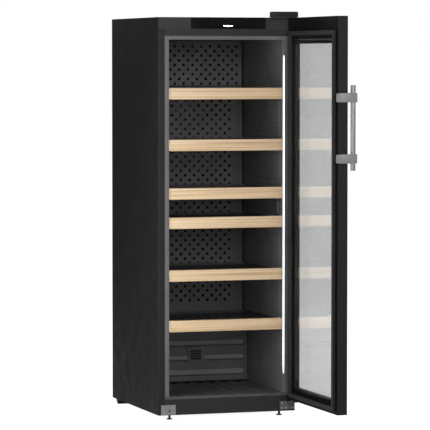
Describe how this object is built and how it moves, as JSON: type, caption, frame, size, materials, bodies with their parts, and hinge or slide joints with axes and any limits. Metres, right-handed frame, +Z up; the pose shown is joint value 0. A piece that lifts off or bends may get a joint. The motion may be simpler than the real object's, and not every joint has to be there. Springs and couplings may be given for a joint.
{
  "type": "wine cooler",
  "caption": "Tall free-standing wine cooler, black, with a hinged glass door shown open, sliding beech-fronted shelves, side light columns and a bar handle.",
  "frame": {"origin": "centre of the front left levelling foot's underside, on the floor", "axes": "+X to the cabinet's right as seen from the front, +Y to its back, +Z up"},
  "size_m": [0.643, 1.316, 1.69],
  "materials": {
    "black_steel": "powder coat, fine texture",
    "front_rail_steel": "powder coat, satin",
    "back_sheet": "matte",
    "zinc_sheet": "zinc plated, satin",
    "liner_plastic": "fine matte grain",
    "cover_plastic": "fine matte grain",
    "floor_plastic": "fine matte grain",
    "duct_black": "matte",
    "hinge_cover_plastic": "satin",
    "foam": "rigid polyurethane foam, matte",
    "fascia_plastic": "fine matte grain",
    "panel_black": "gloss",
    "light_diffuser": "opal, lit",
    "circuit_board": "solder mask",
    "hinge_steel": "satin",
    "grey_plate": "satin, stamped",
    "screw_steel": "zinc plated",
    "foot_plastic": "matte",
    "roller_plastic": "matte",
    "compressor_shell": "satin",
    "mount_rubber": "matte",
    "dish_plastic": "matte",
    "coil_steel": "satin",
    "copper": "drawn copper",
    "inlet_plastic": "matte",
    "fin_aluminium": "black coated",
    "fan_plastic": "matte",
    "spacer_plastic": "matte",
    "beech": "satin lacquer",
    "rack_steel": "satin",
    "door_skin": "satin",
    "door_plastic": "satin",
    "gasket_rubber": "matte",
    "tinted_glass": "gloss",
    "spacer_black": "satin",
    "bush_plastic": "moulded acetal",
    "stainless": "fine brushed"
  },
  "bodies": {
    "cabinet": {"side_panel_left": "black_steel", "side_panel_right": "black_steel", "top_panel": "black_steel", "rear_panel": "back_sheet", "base_pan": "zinc_sheet", "front_rails": "front_rail_steel", "liner_side_walls": "liner_plastic", "liner_ceiling": "liner_plastic", "liner_back": "duct_black", "floor_tray": "floor_plastic", "insulation_foam": "foam", "upper_duct_cover": "cover_plastic", "middle_duct_cover": "cover_plastic", "lower_back_cover": "cover_plastic", "filter_grille": "cover_plastic", "light_columns": "light_diffuser", "fascia_caps": "fascia_plastic", "control_panel": "panel_black", "control_board": "circuit_board", "top_hinge_bracket": "hinge_steel", "top_hinge_cover": "hinge_cover_plastic", "lower_hinge_bracket": "hinge_steel", "corner_plate": "grey_plate", "screws": "screw_steel", "compressor": "compressor_shell", "compressor_mounts": "mount_rubber", "compressor_carrier": "zinc_sheet", "evaporation_dish": "dish_plastic", "condenser": "coil_steel", "refrigerant_pipes": "copper", "mains_inlet": "inlet_plastic", "evaporator": "fin_aluminium", "fan_frame": "fan_plastic", "wall_spacers": "spacer_plastic"},
    "door": {"door_outer_frame": "door_skin", "door_inner_frame": "door_plastic", "door_gasket": "gasket_rubber", "glass_panes": "tinted_glass", "glazing_spacer": "spacer_black", "hinge_bushes": "bush_plastic", "handle_base_plates": "stainless"},
    "handle": {"handle_bar": "stainless"},
    "pushers": {"handle_pushers": "stainless"},
    "left_foot": {"front_left_foot": "foot_plastic"},
    "right_foot": {"front_right_foot": "foot_plastic"},
    "left_roller": {"rear_left_roller": "roller_plastic"},
    "right_roller": {"rear_right_roller": "roller_plastic"},
    "fan": {"fan_rotor": "fan_plastic"},
    "shelf_1": {"shelf_front_1": "beech", "shelf_rack_1": "rack_steel"},
    "shelf_2": {"shelf_front_2": "beech", "shelf_rack_2": "rack_steel"},
    "shelf_3": {"shelf_front_3": "beech", "shelf_rack_3": "rack_steel"},
    "shelf_4": {"shelf_front_4": "beech", "shelf_rack_4": "rack_steel"},
    "shelf_5": {"shelf_front_5": "beech", "shelf_rack_5": "rack_steel"},
    "shelf_6": {"shelf_front_6": "beech", "shelf_rack_6": "rack_steel"}
  },
  "joints": [
    {"name": "door_swing", "type": "hinge", "parent": "cabinet", "child": "door", "pos_m": [0.5135, -0.0845, 0.074], "axis": [0, 0, 1], "range_deg": [-90, 15]},
    {"name": "handle_pull", "type": "slide", "parent": "door", "child": "handle", "axis": [1, 0, 0], "range_m": [0, 0.006], "stiffness_N_per_m": 3000},
    {"name": "pusher_slide", "type": "slide", "parent": "door", "child": "pushers", "axis": [1, 0, 0], "range_m": [-0.006, 0]},
    {"name": "shelf_1_slide", "type": "slide", "parent": "cabinet", "child": "shelf_1", "axis": [0, -1, 0], "range_m": [0, 0.32]},
    {"name": "shelf_2_slide", "type": "slide", "parent": "cabinet", "child": "shelf_2", "axis": [0, -1, 0], "range_m": [0, 0.32]},
    {"name": "shelf_3_slide", "type": "slide", "parent": "cabinet", "child": "shelf_3", "axis": [0, -1, 0], "range_m": [0, 0.32]},
    {"name": "shelf_4_slide", "type": "slide", "parent": "cabinet", "child": "shelf_4", "axis": [0, -1, 0], "range_m": [0, 0.32]},
    {"name": "shelf_5_slide", "type": "slide", "parent": "cabinet", "child": "shelf_5", "axis": [0, -1, 0], "range_m": [0, 0.32]},
    {"name": "shelf_6_slide", "type": "slide", "parent": "cabinet", "child": "shelf_6", "axis": [0, -1, 0], "range_m": [0, 0.32]},
    {"name": "left_foot_turn", "type": "hinge", "parent": "cabinet", "child": "left_foot", "pos_m": [0, 0, 0], "axis": [0, 0, 1], "continuous": true},
    {"name": "right_foot_turn", "type": "hinge", "parent": "cabinet", "child": "right_foot", "pos_m": [0.482, 0, 0], "axis": [0, 0, 1], "continuous": true},
    {"name": "left_roller_spin", "type": "hinge", "parent": "cabinet", "child": "left_roller", "pos_m": [-0.056, 0.582, 0.018], "axis": [1, 0, 0], "continuous": true},
    {"name": "right_roller_spin", "type": "hinge", "parent": "cabinet", "child": "right_roller", "pos_m": [0.478, 0.582, 0.018], "axis": [1, 0, 0], "continuous": true},
    {"name": "fan_spin", "type": "hinge", "parent": "cabinet", "child": "fan", "pos_m": [0.2335, 0.482, 1.314], "axis": [0, 1, 0], "continuous": true}
  ],
  "couplings": [
    {"joint": "pusher_slide", "follows": "handle_pull", "ratio": -1}
  ]
}
